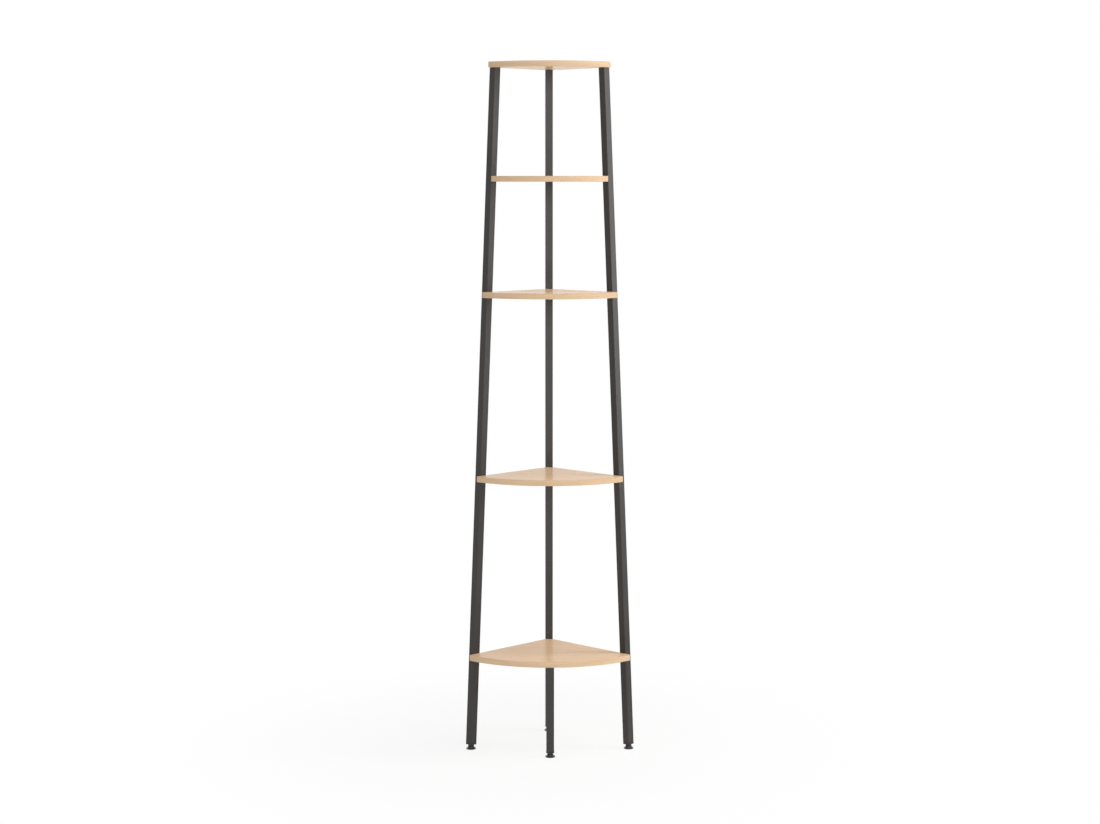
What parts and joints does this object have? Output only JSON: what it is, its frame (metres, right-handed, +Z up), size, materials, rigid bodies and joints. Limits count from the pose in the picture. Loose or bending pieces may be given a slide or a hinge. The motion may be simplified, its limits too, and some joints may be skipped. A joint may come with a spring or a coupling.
{
  "type": "corner shelf unit",
  "caption": "Tall free-standing corner shelf unit: quarter-round wood boards bolted into a leaning frame of square steel tube on levelling feet.",
  "frame": {"origin": "centre of the bounding box on the floor, under the middle of the unit's width and depth", "axes": "+Z up, -Y to the front, where the boards' round edges face the room, and +Y to the corner of the walls; +X to the right as seen from the front"},
  "size_m": [0.4438, 0.3184, 1.8],
  "materials": {
    "wood": "satin laminate",
    "powder_coat": "fine matt powder coat, dark grey",
    "raw_steel": "plain steel, inside the tubes",
    "zinc_screws": "bright zinc plating",
    "foot_steel": "black finish on the threaded stud",
    "black_plastic": "moulded black plastic"
  },
  "bodies": {
    "frame": {"top_shelf": "wood", "upper_shelf": "wood", "middle_shelf": "wood", "lower_shelf": "wood", "bottom_shelf": "wood", "left_leg_upper": "powder_coat", "left_leg_lower": "powder_coat", "left_leg_sleeve": "raw_steel", "left_leg_top_plug": "raw_steel", "top_shelf_left_screw": "zinc_screws", "upper_shelf_left_bolt": "zinc_screws", "upper_shelf_left_barrel_nut": "zinc_screws", "middle_shelf_left_bolt": "zinc_screws", "middle_shelf_left_barrel_nut": "zinc_screws", "lower_shelf_left_bolt": "zinc_screws", "lower_shelf_left_barrel_nut": "zinc_screws", "bottom_shelf_left_bolt": "zinc_screws", "bottom_shelf_left_barrel_nut": "zinc_screws", "right_leg_upper": "powder_coat", "right_leg_lower": "powder_coat", "right_leg_sleeve": "raw_steel", "right_leg_top_plug": "raw_steel", "top_shelf_right_screw": "zinc_screws", "upper_shelf_right_bolt": "zinc_screws", "upper_shelf_right_barrel_nut": "zinc_screws", "middle_shelf_right_bolt": "zinc_screws", "middle_shelf_right_barrel_nut": "zinc_screws", "lower_shelf_right_bolt": "zinc_screws", "lower_shelf_right_barrel_nut": "zinc_screws", "bottom_shelf_right_bolt": "zinc_screws", "bottom_shelf_right_barrel_nut": "zinc_screws", "back_leg_upper": "powder_coat", "back_leg_lower": "powder_coat", "back_leg_sleeve": "raw_steel", "back_leg_top_plug": "raw_steel", "top_shelf_back_screw": "zinc_screws", "upper_shelf_back_bolt": "zinc_screws", "upper_shelf_back_barrel_nut": "zinc_screws", "middle_shelf_back_bolt": "zinc_screws", "middle_shelf_back_barrel_nut": "zinc_screws", "lower_shelf_back_bolt": "zinc_screws", "lower_shelf_back_barrel_nut": "zinc_screws", "bottom_shelf_back_bolt": "zinc_screws", "bottom_shelf_back_barrel_nut": "zinc_screws", "front_leg": "powder_coat", "front_leg_screw_1": "zinc_screws", "front_leg_screw_2": "zinc_screws", "left_foot_insert": "black_plastic", "right_foot_insert": "black_plastic", "back_foot_insert": "black_plastic", "front_foot_insert": "black_plastic"},
    "left_pad": {"left_foot_pad": "black_plastic"},
    "left_stud": {"left_foot_stud": "foot_steel"},
    "right_pad": {"right_foot_pad": "black_plastic"},
    "right_stud": {"right_foot_stud": "foot_steel"},
    "back_pad": {"back_foot_pad": "black_plastic"},
    "back_stud": {"back_foot_stud": "foot_steel"},
    "front_pad": {"front_foot_pad": "black_plastic"},
    "front_stud": {"front_foot_stud": "foot_steel"}
  },
  "joints": [
    {"name": "left_foot_slide", "type": "slide", "parent": "frame", "child": "left_pad", "axis": [-0.0378, -0.0378, -0.9986], "range_m": [0, 0.01]},
    {"name": "left_foot_turn", "type": "hinge", "parent": "left_pad", "child": "left_stud", "pos_m": [-0.20824, -0.05288, 0.0056], "axis": [-0.0378, -0.0378, -0.9986], "range_deg": [0, 2880]},
    {"name": "right_foot_slide", "type": "slide", "parent": "frame", "child": "right_pad", "axis": [0.0378, -0.0378, -0.9986], "range_m": [0, 0.01]},
    {"name": "right_foot_turn", "type": "hinge", "parent": "right_pad", "child": "right_stud", "pos_m": [0.20824, -0.05288, 0.0056], "axis": [0.0378, -0.0378, -0.9986], "range_deg": [0, 2880]},
    {"name": "back_foot_slide", "type": "slide", "parent": "frame", "child": "back_pad", "axis": [0, 0, -1], "range_m": [0, 0.01]},
    {"name": "back_foot_turn", "type": "hinge", "parent": "back_pad", "child": "back_stud", "pos_m": [0, 0.1408, 0.0056], "axis": [0, 0, -1], "range_deg": [0, 2880]},
    {"name": "front_foot_slide", "type": "slide", "parent": "frame", "child": "front_pad", "axis": [0, 0, -1], "range_m": [0, 0.01]},
    {"name": "front_foot_turn", "type": "hinge", "parent": "front_pad", "child": "front_stud", "pos_m": [0, -0.13791, 0.0056], "axis": [0, 0, -1], "range_deg": [0, 2880]}
  ],
  "couplings": [
    {"joint": "left_foot_turn", "follows": "left_foot_slide", "rad_per_m": 5026.5},
    {"joint": "right_foot_turn", "follows": "right_foot_slide", "rad_per_m": 5026.5},
    {"joint": "back_foot_turn", "follows": "back_foot_slide", "rad_per_m": 5026.5},
    {"joint": "front_foot_turn", "follows": "front_foot_slide", "rad_per_m": 5026.5}
  ]
}
